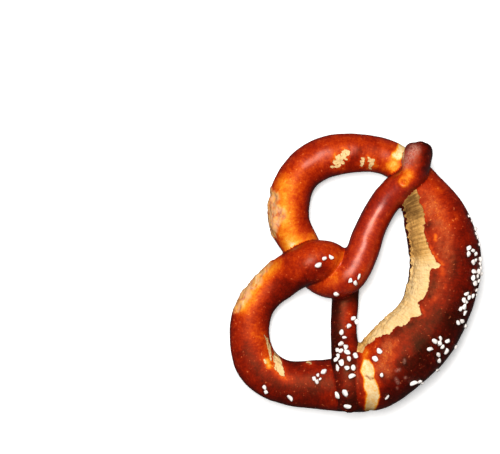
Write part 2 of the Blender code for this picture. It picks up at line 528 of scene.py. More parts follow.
# %% Lighter and darker strokes
BROWNING_AND_PAINTED_LIGHT_STROKES = [  # stretch, width in mm, change, the stroke's spots
    ("right_loop", 9, -0.235, [(33, 60), (27, 57), (18, 54), (8, 50), (2, 46)]),
    ("right_loop", 4, -0.06, [(27, 58), (20, 56), (14, 54)]),
    ("right_loop", 7, 0.12, [(60, 26), (50, 36), (42, 42), (30, 43), (15, 41)]),
    ("right_twist", 7, -0.06, [(3, 45), (4.5, 36)]),
    # painted highlight: lighter along the right loop's crest where the highlight lies
    ("right_loop", 6, -0.06, [(52, 49), (43, 54.5), (34, 56)]),
    ("right_loop", 6, -0.28, [(59, 3), (61, 4.5)]),
    ("right_loop", 6, -0.05, [(2, 46), (5, 44)]),
    ("right_loop", 5, -0.12, [(64, 6), (58, 8)]),
    # painted highlight: lighter along the right arm's crest where the highlight runs
    ("right_arm", 3.5, -0.10, [(6, 9), (22, 7), (34, 5.4)]),
    ("right_arm", 6, -0.20, [(60.5, -3), (58.4, -5.4), (54, -3.4)]),
    ("right_arm", 3, -0.14, [(58.6, -5.4)]),
    ("right_arm", 6, 0.10, [(78, -12), (68, -14), (58, -12), (48, -9)]),
    ("right_arm", 5, 0.12, [(78, -9), (72, -10.5), (65, -12)]),
    ("left_loop", 9.5, -0.30, [(-8, 50), (-18, 55), (-28, 58.5), (-37, 61)]),
    ("left_loop", 7, -0.09, [(-14, 54), (-25, 58.5), (-35, 61.5)]),
    ("left_loop", 2.6, -0.34, [(-62.5, 39.5), (-65, 37.5)]),
    ("left_loop", 4, -0.12, [(-69.5, 29.2), (-68.6, 24)]),
    ("left_loop", 6, 0.08, [(-68, 8), (-64, 2), (-61, -4)]),
    ("left_loop", 7, 0.09, [(-15, 41), (-30, 46), (-40, 47)]),
    ("left_loop", 5, -0.10, [(-51, 46), (-57, 40), (-66, 33)]),
    ("left_loop", 5, -0.10, [(-48, 53), (-54, 50), (-60, 44)]),
    ("left_loop", 9, 0.11, [(-62, 51), (-71, 40), (-75, 26), (-72, 9)]),
    ("belly", 5, -0.26, [(-42, -10), (-45, -11), (-53, -14.5), (-63, -20), (-70, -22)]),
    ("belly", 3.5, -0.10, [(-46, -17), (-52, -20), (-58, -24)]),
    ("belly", 5, -0.12, [(-40, -12), (-35, -15)]),
    ("left_twist", 8, -0.07, [(-2, 20), (3, 18)]),
    ("left_twist", 6, 0.14, [(-18, 34), (-10, 30), (-4, 24)]),
    ("right_twist", 7, -0.14, [(-9, 17), (-3, 19)]),
    # painted shade: the next three strokes darken the belly's outer side, which turns away from the light
    ("belly", 15, 0.17, [(-60, -30), (-48, -38), (-38, -44), (-26, -48), (-12, -52)]),
    ("belly", 14, 0.13, [(-12, -52), (6, -54), (22, -50)]),
    ("belly", 10, 0.08, [(28, -50), (44, -42), (54, -32)]),
    ("belly", 8, 0.11, [(-28, -37), (-18, -38), (-10, -42)]),
    # painted shade: the belly's outer side at the left, turned away from the light
    ("belly", 8, 0.11, [(-41, -35), (-35, -39), (-30, -39)]),
    ("belly", 5, 0.10, [(-31, -29), (-34.6, -31.4), (-41, -32)]),
    # painted sheen: lighter where the dull belly catches the light at its left shoulder
    ("belly", 7, -0.08, [(-34, -24), (-44, -23), (-48, -25)]),
    ("belly", 5, -0.06, [(-8, -36.5), (-3, -37)]),
    ("belly", 8, -0.02, [(50, -20), (44, -24), (38, -30)]),
    ("belly", 7, -0.04, [(34, -34), (24, -37)]),
    ("belly", 3.5, 0.14, [(34.5, -22.5), (36.5, -24), (38, -28)]),
    ("belly", 2, -0.30, [(31, -28.6), (28.6, -29.2)]),
    ("belly", 3, 0.12, [(11, -34.5), (4, -35.6), (-2, -36)]),
    ("belly", 1.8, -0.16, [(24.5, -27.6), (21, -30.6), (19.4, -33), (17, -37.4)]),
    ("belly", 1.6, -0.14, [(-9, -33.4), (-13, -36.2), (-15.6, -33)]),
    ("belly", 3, -0.12, [(13.6, -37.6), (12.2, -38.6)]),
    ("belly", 2.4, -0.12, [(6.4, -41.6), (5, -42.4)]),
    ("belly", 4, 0.08, [(22, -42), (14, -44)]),
    ("belly", 3.6, 0.12, [(-14, -34), (-19, -31), (-24, -26.5), (-29, -22.5)]),
    ("belly", 3.5, -0.08, [(2, -39.6), (-4, -38)]),
    ("belly", 2, -0.14, [(46, -36), (44, -37.4)]),
    ("left_arm", 7, 0.06, [(-72, -8), (-66, -16)]),
    ("left_arm", 4.5, -0.06, [(-25, 3), (-30, 2.4), (-40, -2)]),
    # painted shade: a dark band along the side of the left arm
    ("left_arm", 5, 0.19, [(-26, 11), (-34, 8), (-44, 6), (-52, 4)]),
    # painted shadow: where the twist crossing above shades the left arm
    ("left_arm", 8, 0.26, [(-14, 4), (-17, 10), (-22, 13)]),
]
for stretch, reach, change, spots in BROWNING_AND_PAINTED_LIGHT_STROKES:
    browning_and_painted_light += change * fade(distance_to_stroke(spots, stretch), reach)
browning_and_painted_light -= 0.12 * near_patch
browning_and_painted_light += 0.3 * ragged_edge
print(len(BROWNING_AND_PAINTED_LIGHT_STROKES), "strokes")

# %% Where the crust stretched late or was scarred
PALE_TOP = 0.05
PALE_SIDE = 0.08
paleness = np.interp(seen[:, 0], [-70, -56], [PALE_SIDE, PALE_TOP])
browning_and_painted_light += rise_between(band, -0.8, 0.5) * (paleness - browning_and_painted_light)
browning_and_painted_light += rise_between(end_patch, -1.0, 0.7) * (0.05 - browning_and_painted_light)
browning_and_painted_light += scarred * (0.20 + 0.12 * unevenness(bare, 3, 34) + 0.38 * creases - browning_and_painted_light)
browning_and_painted_light = np.clip(browning_and_painted_light, 0.0, 0.98)
print("the band bakes to between", PALE_TOP, "and", PALE_SIDE)

# %% [markdown]
# ## Glossy and dry crust
#
# Lye crust is glossy where it stayed tight and smooth, on the arms and loops, and dull where it was
# stretched or dried out, over the thick belly. `dryness` runs from 0, glossy, to 1, dull, and a little
# over 1 where the dry crust is also cracked into hairlines. It is painted with strokes, and the shader
# turns it into roughness, coat, flecks and hairlines, and on dull crust into a paler colour that is
# partly dust and partly painted sheen.

# %% Dryness
BASE_DRYNESS = {
    "left_arm": 0.6, "left_twist": 0.27, "left_loop": 0.55, "belly": 0.42,
    "right_loop": 0.26, "right_twist": 0.14, "right_arm": 0.0,
}
dry_base = [BASE_DRYNESS[stretch] for stretch in STRETCHES for _ in STRETCHES[stretch]]
dryness = np.interp(along, station_at, dry_base)
DRY_STROKES = [  # stretch, width in mm, change, the stroke's spots
    ("belly", 14, 0.55, [(50, -16), (42, -24), (32, -32), (16, -38), (-4, -38), (-26, -27), (-36, -22), (-46, -22)]),
    ("belly", 9, 0.35, [(51, -17), (46, -23), (40, -29)]),
    ("belly", 8, 0.3, [(33, -35), (24, -37)]),
    ("belly", 8, 0.5, [(-34, -22), (-44, -22), (-49, -26)]),
    ("right_arm", 4, 0.9, [(58, -5), (55, -3)]),
    ("right_arm", 9, 0.45, [(79, -7), (70, -6), (63, -4)]),
    ("left_loop", 9, 0.25, [(-56, 50), (-68, 42), (-73, 26), (-70, 12)]),
    ("right_loop", 9, 0.45, [(27, 58), (18, 54), (8, 50), (2, 46)]),
]
for stretch, reach, change, spots in DRY_STROKES:
    dryness += change * fade(distance_to_stroke(spots, stretch), reach)
dryness = np.clip(dryness + 0.12 * unevenness(bare, 9, 14), 0, 1.6)
dryness += rise_between(np.maximum(band, end_patch), -0.5, 0.5) * (0.8 - dryness)
dryness += scarred * (1.0 - dryness)
print("dryness runs from", round(dryness.min(), 2), "to", round(dryness.max(), 2))

# %% Salt water that dried on the belly, and a painted sheen on the right end
SALT_FILM_AND_SHEEN_STROKES = [  # stretch, width in mm, amount, the stroke's spots
    # painted sheen: a pale pinkish patch where the right end's knob catches the light
    ("right_arm", 5, 0.5, [(73, -3.4), (69, -2.2), (64, -1)]),
    ("belly", 1.5, 0.34, [(-50.8, -31.3), (-52.6, -33)]),
    ("belly", 1.3, 0.3, [(-46.4, -30), (-45.4, -31.4)]),
    ("belly", 1.2, 0.3, [(-55.6, -33.6)]),
    ("belly", 1.2, 0.3, [(-41, -33), (-39.4, -32.6)]),
    ("belly", 1.4, 0.4, [(-48.6, -36)]),
]
salt_film_and_sheen = np.zeros(len(bare))
for stretch, reach, amount, spots in SALT_FILM_AND_SHEEN_STROKES:
    salt_film_and_sheen = np.maximum(salt_film_and_sheen, amount * fade(distance_to_stroke(spots, stretch), reach))
print("the film covers", round(100 * float((salt_film_and_sheen > 0.05).mean()), 1), "% of the skin")

# %% [markdown]
# ## Lifting the skin
#
# Light shows the small heights of a crust more than its colour does: the torn lip that stands up
# along the split, the crumb that swells past it, the sunk stretch band with its crack, the wrinkles
# of the scars. A displacement texture could carry them, but it would be lost outside this renderer,
# so the points of the skin are moved along their normals, by heights in millimetres.

# %% Heights
height = 0.35 * unevenness(bare, 20, 21) + 0.14 * unevenness(bare, 6, 22)
lip = np.exp(-(((clean_split + 0.4) / 0.6) ** 2)) * (0.2 + 0.25 * unevenness(bare, 7, 23))
in_split = np.clip(split, 0, 30)
swelling = 1.2 * (1 - np.exp(-in_split / 3.5)) - 0.8 * np.clip(in_split / 0.5, 0, 1)
lumps = 0.34 * unevenness(bare, 6, 24) + 0.17 * unevenness(bare, 2.2, 25)
hole_side = rise_between(turn, math.radians(48), math.radians(78))
lumps += hole_side * (0.5 * unevenness(bare, 3.2, 41) + 0.3 * unevenness(bare, 1.6, 42))
height += lip + swelling * (split > 0) + lumps * np.clip(split / 2, 0, 1)
height += ragged_edge * (0.6 + 1.2 * unevenness(bare, 2.2, 29))
height -= 0.6 * np.clip(band / 1.6, 0, 1) + 0.3 * np.clip(end_patch / 1.5, 0, 1)
height += np.clip(torn / 0.8, 0, 1) * (0.35 * unevenness(bare, 1.8, 26) - 0.25)
height += scarred * (0.75 * unevenness(bare, 4.2, 35) + 0.25 * unevenness(bare, 1.8, 28)) - 0.55 * creases
wrinkled = np.clip(dryness - 0.95, 0, 0.6) * (crumb < 0) * (1 - scarred)
height += wrinkled * 0.35 * unevenness(bare, 2.2, 36)
print("heights run from", round(height.min(), 2), "to", round(height.max(), 2), "mm")

# %% Presses and swellings of single spots
PRESSES = [  # stretch, reach and height in mm, the stroke's spots
    ("right_loop", 3.5, -1.1, [(25, 62.8), (22.5, 62)]),
    ("right_arm", 4.5, -1.0, [(79, -2)]),
    ("right_arm", 4, 0.9, [(77, -11.5)]),
    ("right_arm", 4, -0.8, [(60, 1.5), (56, 3.5)]),
]
for stretch, reach, change, spots in PRESSES:
    height += change * fade(distance_to_stroke(spots, stretch), reach)
NAVEL = (53.9, -3.2)
from_navel = distance_to_stroke([NAVEL], "right_arm")
navel_ring = np.exp(-(((from_navel - 2.3) / 0.7) ** 2))
height += 0.6 * navel_ring - 0.5 * fade(from_navel, 2.2) + 0.5 * fade(from_navel, 1.1)
browning_and_painted_light += 0.06 * fade(from_navel, 4) - 0.14 * navel_ring - 0.10 * fade(from_navel, 1.0)
BAND_CRACK = [(-54, -14.6), (-55.1, -17.3), (-54.4, -19)]
from_crack = distance_to_stroke(BAND_CRACK, "belly")
height -= 0.5 * fade(from_crack, 1.3)
print(len(PRESSES), "presses, one ring and one crack")

# %% Painted shade on the crumb, and tan
CRUMB_SHADE_AND_TAN_STROKES = [  # width in mm, amount, the stroke's spots
    # painted shade: these two strokes darken the crumb below the right arm, where its shadow falls
    (14, 1.05, [(46, -10), (40, -12)]),
    (12, 0.65, [(38, -14), (28, -18), (22, -22)]),
    (4, 0.5, [(-24, -11), (-34, -7), (-40, -8)]),
]
crumb_shade_and_tan = np.zeros(len(bare))
for reach, amount, spots in CRUMB_SHADE_AND_TAN_STROKES:
    crumb_shade_and_tan = np.maximum(crumb_shade_and_tan, amount * fade(distance_to_stroke(spots, "belly"), reach))
# painted shade: darker towards the hole side, under the widest line
crumb_shade_and_tan += 0.25 * np.clip((turn - math.radians(66)) / math.radians(24), 0, 1)
print("crumb tan reaches", round(crumb_shade_and_tan.max(), 2))

# %% Move the skin, press it on the tray and set it in the frame
TRAY_EDGE = 0.3  # rounding where the flat underside begins, in mm

normals = np.empty(len(skin_mesh.vertices) * 3, np.float32)
skin_mesh.vertex_normals.foreach_get("vector", normals)
points = bare + normals.reshape(-1, 3) * height[:, None]
points[:, 2] = (points[:, 2] + np.sqrt(points[:, 2] ** 2 + 4 * TRAY_EDGE**2)) / 2
points[:, 2] -= points[:, 2].min()
box_low, box_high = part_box("pretzel")
frame_middle = (np.array(box_low) + np.array(box_high)) / 2 / MM
shift = frame_middle - (points.min(0) + points.max(0)) / 2
shift[2] = 0
points += shift
skin_mesh.vertices.foreach_set("co", (points * MM).astype(np.float32).ravel())
skin_mesh.polygons.foreach_set("use_smooth", np.ones(len(skin_mesh.polygons), bool))
skin_mesh.update()
print("shifted by", np.round(shift, 2), "mm; size", np.round(points.max(0) - points.min(0), 1), "mm")

# %% [markdown]
# ## Coarse salt
#
# Pretzel salt is pressed into white, opaque, rounded grains, two to three millimetres long, and
# strewn on while the dough is wet, so each grain sits a little sunk in the crust. A particle system
# would scatter them evenly, but real salt falls in clusters, so the grains are placed one by one and
# dropped where the same line of sight meets the skin, by casting a ray.

# %% Where the grains lie
SALT = {  # spots seen from above, in mm: across, along, length, and for some breadth and heading in degrees
    "left_arm": [
        (-26, 1.4, 2.8), (-27.4, -0.7, 3.0), (-30.8, 2.4, 2.8), (-35.3, 4.9, 3.2, 2.3, 20),
        (-37.6, 2.5, 2.4), (-41.6, 3.1, 3.0), (-42.7, 0.3, 3.0), (-45.3, 4.1, 2.7), (-45.3, 2.1, 2.8),
        (-45.0, -1.4, 3.5, 2.4, 79), (-45.5, -5.9, 3.3, 2.7, 30), (-48.4, 2.6, 3.0), (-50.6, 3.1, 2.8),
        (-48.1, -3.2, 2.8, 2.3, 60), (-51.2, -0.2, 3.5, 2.7, 40), (-54.2, 0.9, 3.8, 2.0, 37),
        (-53.2, -3.6, 2.8, 2.4, 80), (-52, -6.9, 3.2, 2.2, 25), (-56.4, -7.4, 3.8, 2.4, -53),
        (-68.5, -3.3, 4.0, 2.5, 32), (-66.2, -6.8, 4.2, 2.8, 32), (-72.8, -10.2, 4.0, 2.2, -73),
    ],
    "left_loop": [
        (-58.8, 7.7, 3.6, 2.2, -10), (-65.2, 9.8, 2.4), (-64.1, 11.8, 2.2), (-61.6, 10.4, 1.9), (-63.2, 8.6, 1.7), (-76.3, 36.4, 3.0), (-77.6, 21.4, 3.9, 2.3, 45),
        (-78.4, 35, 2.4),
    ],
    "twist": [
        (-15.5, 13.9, 3.0, 2.4, -60), (-6.4, 8.7, 2.8), (-6.7, 6, 3.1, 2.2, 30), (-3, 5.1, 3.4, 1.9, 10),
        (-3.6, 28.2, 3.8, 2.4, -55), (0.8, 26.2, 2.4), (2.5, 23.1, 3.0, 2.1, 70),
    ],
    "belly_right": [
        (46.5, -42.8, 1.6), (44.4, -45.2, 1.5), (40.8, -48.1, 2.4), (38.8, -50, 1.8), (37.3, -51.8, 2.2),
        (29.7, -47.8, 3.0, 2.3, -20), (26.6, -48.8, 3.0, 2.4, 30), (29, -50.4, 2.6), (27.8, -52.5, 2.8),
        (22.9, -52.5, 2.9), (25.7, -55.4, 2.9), (23.2, -56.4, 2.8), (18.2, -54.3, 3.1, 2.4, 80),
        (19, -56.7, 2.8), (18.4, -59.4, 2.4), (14.7, -54.8, 3.2, 2.2, 10), (12.3, -56.7, 2.8),
        (14.1, -58.4, 2.5), (9, -58.9, 2.6), (21, -57.4, 2.4), (16.4, -57, 2.2), (24.6, -53.6, 2.0),
        (33.6, -53.4, 1.7), (21.4, -59, 1.7), (6.6, -60, 1.6),
    ],
    "belly_middle": [
        (5.3, -54.2, 2.9), (3.8, -56.1, 2.8), (5.3, -57.9, 2.5), (1.6, -53.6, 3.1, 2.3, 60), (1, -55.3, 2.6),
        (-1.7, -55, 3.0), (-3.3, -53.7, 2.8), (-5, -56.3, 3.0, 2.2, -20), (-9.6, -56.3, 3.1, 2.3, 70),
        (-11.1, -54.3, 2.5), (-11.7, -59.2, 2.5),
    ],
    "belly_left": [
        (-24.6, -45.1, 3.4, 2.3, 80), (-22.2, -47.8, 2.6), (-24.9, -48, 2.8), (-26.3, -50, 2.6), (-22.4, -51.6, 2.7),
        (-29.5, -44, 3.2, 2.1, -70), (-28, -52.8, 3.5, 2.3, 10), (-31.1, -49.3, 2.7), (-33.9, -50.6, 3.0, 2.3, 50),
        (-24.1, -57, 2.2), (-39.4, -51.4, 2.5), (-49.6, -40.7, 4.6, 2.6, -60), (-48.2, -43.8, 2.6), (-49.1, -45.8, 2.2),
        (-61.5, -29.2, 3.0, 1.9, -20), (-51, -23, 2.2), (-43.6, -17.3, 3.2, 2.6, 60), (-39, -18.4, 3.3, 2.6, 80),
    ],
}
print("grains placed by hand:", {name: len(spots) for name, spots in SALT.items()})

# %% Drop the grains on the skin
skin_tree = BVHTree.FromPolygons(
    [tuple(point) for point in points], [tuple(face.vertices) for face in skin_mesh.polygons]
)
chance = random.Random(5)
resting = []
for spots in SALT.values():
    for across, deep, length, *more in spots:
        breadth, heading = more or (length * chance.uniform(0.66, 0.88), chance.uniform(0, 180))
        eye = Vector(EYE) + Vector(shift)
        aim = Vector((across, deep, EYE_LEVEL)) + Vector(shift)
        spot, normal, _, _ = skin_tree.ray_cast(eye, (aim - eye).normalized())
        if spot is None:  # just past the outline, so it sticks to the side there
            spot, normal, _, gap = skin_tree.find_nearest(aim)
            print("a grain at", (across, deep), "sits on the side,", round(gap, 1), "mm from its aim")
        resting.append((spot, normal, length, breadth, math.radians(heading)))
print(len(resting), "grains in all")

# %% Darker crust round the salt, partly painted contact shadow
from_salt = np.full(len(bare), 99.0)
for spot, *_ in resting:
    near = np.flatnonzero(np.abs(points - np.array(spot)).max(1) < 5)
    from_salt[near] = np.minimum(from_salt[near], np.linalg.norm(points[near] - np.array(spot), axis=1))
# darker round each grain: partly crust moistened by the salt, partly a painted contact shadow
browning_and_painted_light += 0.14 * fade(from_salt, 3.4) * (crumb < 0)
browning_and_painted_light = np.clip(browning_and_painted_light, 0, 0.98)
print("salt darkened", round(100 * float((from_salt < 3).mean()), 1), "% of the skin")

# %% Keep the measurements on the skin
underside = np.clip(1.4 - points[:, 2] / 1.6, 0, 1)


def keep(name, values):
    """Store one number for each point of the skin, for the shader to read."""
    layer = skin_mesh.attributes.new(name, "FLOAT", "POINT")
    layer.data.foreach_set("value", values.astype(np.float32))


keep("browning_and_painted_light", browning_and_painted_light)
keep("crumb_depth", np.clip(crumb, -8, 12))
keep("underside", underside)
keep("scarred", scarred)
keep("dryness", dryness)
keep("crumb_shade_and_tan", crumb_shade_and_tan)
keep("salt_film_and_sheen", salt_film_and_sheen)
keep("crack", fade(from_crack, 1.0))
tape = skin_mesh.attributes.new("on_rope", "FLOAT_VECTOR", "POINT")
tape.data.foreach_set("vector", np.column_stack([along, around, 0 * along]).astype(np.float32).ravel())
print("attributes:", [layer.name for layer in skin_mesh.attributes if not layer.is_internal])

# %% [markdown]
# ## Materials
#
# Colours are given as sRGB hex values, as on a screen, and one function turns them into the linear
# numbers that light is added up in. One more function adds a node with its settings and its links.

# %% Helpers for materials
def colour(hex_value):
    """An sRGB hex value as linear red, green, blue and alpha."""
    parts = [int(hex_value[i : i + 2], 16) / 255 for i in (1, 3, 5)]
    return (*(c / 12.92 if c <= 0.04045 else ((c + 0.055) / 1.055) ** 2.4 for c in parts), 1.0)


def add_node(tree, kind, settings, inputs):
    """One node with its settings; each input takes a plain value or another node's output."""
    made = tree.nodes.new(kind)
    for name, value in settings.items():
        setattr(made, name, value)
    for name, value in inputs.items():
        if isinstance(value, bpy.types.NodeSocket):
            tree.links.new(value, made.inputs[name])
        else:
            made.inputs[name].default_value = value
    return made


print("pure crust red is", [round(c, 3) for c in colour("#9a2c0c")])

# %% [markdown]
# ## Crust, crumb and base in one skin
#
# The real skin is one sheet of dough. **Lye crust** is starch and protein that the lye turned into a
# thin, glassy, red-brown film: smooth, a little uneven, with broad soft highlights that take on some
# of its warmth. **Crumb** is plain wheat bread: pale, matte, open, drawn into fine cross strands where
# it burst. The **base** dried against the tray and is duller. They meet along frayed lines finer than
# the skin's faces, so one material mixes them by the depths kept on the skin.

# %% Place and measurements
crust = bpy.data.materials.new("lye_crust_with_torn_crumb")
crust.use_nodes = True
tree = crust.node_tree
tree.nodes.clear()
place = add_node(tree, "ShaderNodeTexCoord", {}, {}).outputs["Object"]
measured = {}
for name in ("browning_and_painted_light", "crumb_depth", "crumb_shade_and_tan", "dryness", "salt_film_and_sheen", "underside", "scarred", "crack"):
    measured[name] = add_node(tree, "ShaderNodeAttribute", {"attribute_name": name}, {}).outputs["Fac"]
tape = add_node(tree, "ShaderNodeAttribute", {"attribute_name": "on_rope"}, {}).outputs["Vector"]
print("the shader reads", len(measured) + 1, "measurements")

# %% Where the crumb starts
FRAY = 1.1 * MM
fray = add_node(
    tree, "ShaderNodeTexNoise", {}, {"Vector": place, "Scale": 1 / FRAY, "Detail": 2.0}
).outputs["Fac"]
frayed = add_node(
    tree, "ShaderNodeMath", {"operation": "MULTIPLY_ADD"}, {0: fray, 1: 0.8, 2: measured["crumb_depth"]}
).outputs[0]
crumb_shows = add_node(
    tree,
    "ShaderNodeMapRange",
    {"interpolation_type": "SMOOTHSTEP"},
    {"Value": frayed, "From Min": 0.3, "From Max": 0.5},
).outputs["Result"]
near_edge = add_node(
    tree,
    "ShaderNodeMapRange",
    {"interpolation_type": "SMOOTHSTEP"},
    {"Value": frayed, "From Min": -0.6, "From Max": 0.6},
).outputs["Result"]
print("the crumb's edge frays over", FRAY / MM, "mm")

# %% The crust's colour
BROWNING_COLOURS = [
    (0.0, "#f0d6a0"),
    (0.07, "#ebc183"),
    (0.15, "#edab41"),
    (0.27, "#e6851a"),
    (0.38, "#d55f0c"),
    (0.49, "#bb3706"),
    (0.60, "#991e04"),
    (0.70, "#7b1103"),
    (0.80, "#5d0a03"),
    (0.90, "#400603"),
    (1.0, "#260402"),
]
mottle = add_node(
    tree, "ShaderNodeTexNoise", {}, {"Vector": place, "Scale": 1 / (2.6 * MM), "Detail": 4.0, "Roughness": 0.62}
).outputs["Fac"]
cross_tape = add_node(
    tree, "ShaderNodeVectorMath", {"operation": "MULTIPLY"}, {0: tape, 1: (1 / 1.1, 1 / 6, 1)}
).outputs[0]
streaks = add_node(
    tree, "ShaderNodeTexNoise", {}, {"Vector": cross_tape, "Scale": 1.0, "Detail": 2.0}
).outputs["Fac"]
speckle = add_node(
    tree, "ShaderNodeTexNoise", {}, {"Vector": place, "Scale": 1 / (0.9 * MM), "Detail": 2.0}
).outputs["Fac"]
# Flecks are small lighter specks on dull crust: partly pale blisters, partly painted glints where small blisters catch
# the light.
fleck_noise = add_node(
    tree, "ShaderNodeTexNoise", {}, {"Vector": place, "Scale": 1 / (1.6 * MM), "Detail": 1.0}
).outputs["Fac"]
flecks_and_glints = add_node(
    tree,
    "ShaderNodeMapRange",
    {"interpolation_type": "SMOOTHSTEP"},
    {"Value": fleck_noise, "From Min": 0.65, "From Max": 0.74},
).outputs["Result"]
fleck_chance = add_node(
    tree, "ShaderNodeMapRange", {}, {"Value": measured["dryness"], "To Min": 0.35, "To Max": 1.2}
).outputs["Result"]
flecks_and_glints = add_node(tree, "ShaderNodeMath", {"operation": "MULTIPLY"}, {0: flecks_and_glints, 1: fleck_chance}).outputs[0]
fleck_clusters = add_node(
    tree, "ShaderNodeMapRange", {}, {"Value": mottle, "From Min": 0.55, "From Max": 0.42, "To Min": 0.0, "To Max": 1.3}
).outputs["Result"]
flecks_and_glints = add_node(tree, "ShaderNodeMath", {"operation": "MULTIPLY"}, {0: flecks_and_glints, 1: fleck_clusters}).outputs[0]
hair_noise = add_node(
    tree, "ShaderNodeTexNoise", {}, {"Vector": place, "Scale": 1 / (1.9 * MM), "Detail": 2.0}
).outputs["Fac"]
from_hair = add_node(
    tree, "ShaderNodeMath", {"operation": "SUBTRACT"}, {0: hair_noise, 1: 0.5}
).outputs[0]
from_hair = add_node(tree, "ShaderNodeMath", {"operation": "ABSOLUTE"}, {0: from_hair}).outputs[0]
hair = add_node(
    tree,
    "ShaderNodeMapRange",
    {"interpolation_type": "SMOOTHSTEP"},
    {"Value": from_hair, "From Min": 0.0, "From Max": 0.035, "To Min": 1.0, "To Max": 0.0},
).outputs["Result"]
cracked_dry = add_node(
    tree, "ShaderNodeMapRange", {}, {"Value": measured["dryness"], "From Min": 0.9, "From Max": 1.5}
).outputs["Result"]
hairlines = add_node(
    tree, "ShaderNodeMath", {"operation": "MULTIPLY"}, {0: hair, 1: cracked_dry}
).outputs[0]
BROWNING_PATTERNS = [
    (mottle, 0.28), (streaks, 0.16), (speckle, 0.20), (near_edge, -0.06), (flecks_and_glints, -0.14), (hairlines, -0.25)
]
browned_and_painted_light = measured["browning_and_painted_light"]
for pattern, strength in BROWNING_PATTERNS:
    browned_and_painted_light = add_node(
        tree, "ShaderNodeMath", {"operation": "MULTIPLY_ADD"}, {0: pattern, 1: strength, 2: browned_and_painted_light}
    ).outputs[0]
browned_and_painted_light = add_node(tree, "ShaderNodeMath", {"operation": "SUBTRACT"}, {0: browned_and_painted_light, 1: 0.32}).outputs[0]
ramp = add_node(tree, "ShaderNodeValToRGB", {}, {"Fac": browned_and_painted_light})
while len(ramp.color_ramp.elements) < len(BROWNING_COLOURS):
    ramp.color_ramp.elements.new(0.5)
for stop, (position, hex_value) in zip(ramp.color_ramp.elements, BROWNING_COLOURS):
    stop.position = position
    stop.color = colour(hex_value)
# Dull crust is mixed towards a pale tan: partly a dusty dry film, partly a painted sheen where the dull crust catches
# the light.
dust_and_sheen = add_node(
    tree, "ShaderNodeMapRange", {}, {"Value": measured["dryness"], "From Min": 0.8, "From Max": 1.6, "To Max": 0.42}
).outputs["Result"]
dust_and_sheen_patches = add_node(
    tree, "ShaderNodeMapRange", {}, {"Value": mottle, "From Min": 0.62, "From Max": 0.38, "To Min": 0.4, "To Max": 1.2}
).outputs["Result"]
dust_and_sheen = add_node(tree, "ShaderNodeMath", {"operation": "MULTIPLY"}, {0: dust_and_sheen, 1: dust_and_sheen_patches}).outputs[0]
crust_colour = add_node(
    tree, "ShaderNodeMix", {"data_type": "RGBA"}, {0: dust_and_sheen, 6: ramp.outputs["Color"], 7: colour("#bd6d3e")}
).outputs[2]
# the flecks' pale colour is partly painted glints
fleck_and_glint_strength = add_node(
    tree, "ShaderNodeMath", {"operation": "MULTIPLY"}, {0: flecks_and_glints, 1: 0.3}
).outputs[0]
crust_colour = add_node(
    tree,
    "ShaderNodeMix",
    {"data_type": "RGBA"},
    {0: fleck_and_glint_strength, 6: crust_colour, 7: colour("#de8350")},
).outputs[2]
scar_patches = add_node(
    tree, "ShaderNodeMapRange", {}, {"Value": mottle, "From Min": 0.35, "From Max": 0.62, "To Min": 0.12, "To Max": 0.8}
).outputs["Result"]
scar_strength = add_node(
    tree, "ShaderNodeMath", {"operation": "MULTIPLY"}, {0: measured["scarred"], 1: scar_patches}
).outputs[0]
crust_colour = add_node(
    tree,
    "ShaderNodeMix",
    {"data_type": "RGBA"},
    {0: scar_strength, 6: crust_colour, 7: colour("#dba97c")},
).outputs[2]
# This pale colour is dried salt water on the belly, and a painted sheen on the right end's knob.
salt_film_and_sheen_patches = add_node(
    tree, "ShaderNodeMapRange", {}, {"Value": speckle, "From Min": 0.35, "From Max": 0.62, "To Min": 0.25, "To Max": 1.1}
).outputs["Result"]
salt_film_and_sheen_strength = add_node(
    tree, "ShaderNodeMath", {"operation": "MULTIPLY"}, {0: measured["salt_film_and_sheen"], 1: salt_film_and_sheen_patches}
).outputs[0]
crust_colour = add_node(
    tree,
    "ShaderNodeMix",
    {"data_type": "RGBA"},
    {0: salt_film_and_sheen_strength, 6: crust_colour, 7: colour("#dc9c86")},
).outputs[2]
print("the crust goes through", len(BROWNING_COLOURS), "colours")

# %% The crumb's colour
STRAND_SPACING = 1.3
stretched_tape = add_node(
    tree, "ShaderNodeVectorMath", {"operation": "MULTIPLY"}, {0: tape, 1: (1 / STRAND_SPACING, 1 / 14, 1)}
).outputs[0]
strands = add_node(
    tree, "ShaderNodeTexNoise", {}, {"Vector": stretched_tape, "Scale": 1.0, "Detail": 2.0}
).outputs["Fac"]
pores = add_node(
    tree, "ShaderNodeTexNoise", {}, {"Vector": place, "Scale": 1 / (1.4 * MM), "Detail": 3.0, "Roughness": 0.6}
).outputs["Fac"]
cloud = add_node(
    tree, "ShaderNodeTexNoise", {}, {"Vector": place, "Scale": 1 / (6 * MM), "Detail": 2.0}
).outputs["Fac"]
# Where the crumb is painted darker, its strands get deeper painted shadows between them.
strand_shade_contrast = add_node(
    tree, "ShaderNodeMath", {"operation": "MULTIPLY_ADD"}, {0: measured["crumb_shade_and_tan"], 1: 0.6, 2: 0.8}
).outputs[0]
strand_swing = add_node(
    tree, "ShaderNodeMath", {"operation": "SUBTRACT"}, {0: strands, 1: 0.5}
).outputs[0]
strand_swing = add_node(
    tree, "ShaderNodeMath", {"operation": "MULTIPLY"}, {0: strand_swing, 1: strand_shade_contrast}
).outputs[0]
shaded_and_tanned = measured["crumb_shade_and_tan"]
for pattern, strength in ((strand_swing, 1.0), (pores, 0.3), (cloud, 0.3)):
    shaded_and_tanned = add_node(
        tree, "ShaderNodeMath", {"operation": "MULTIPLY_ADD"}, {0: pattern, 1: strength, 2: shaded_and_tanned}
    ).outputs[0]
shaded_and_tanned = add_node(tree, "ShaderNodeMath", {"operation": "SUBTRACT"}, {0: shaded_and_tanned, 1: 0.20}).outputs[0]
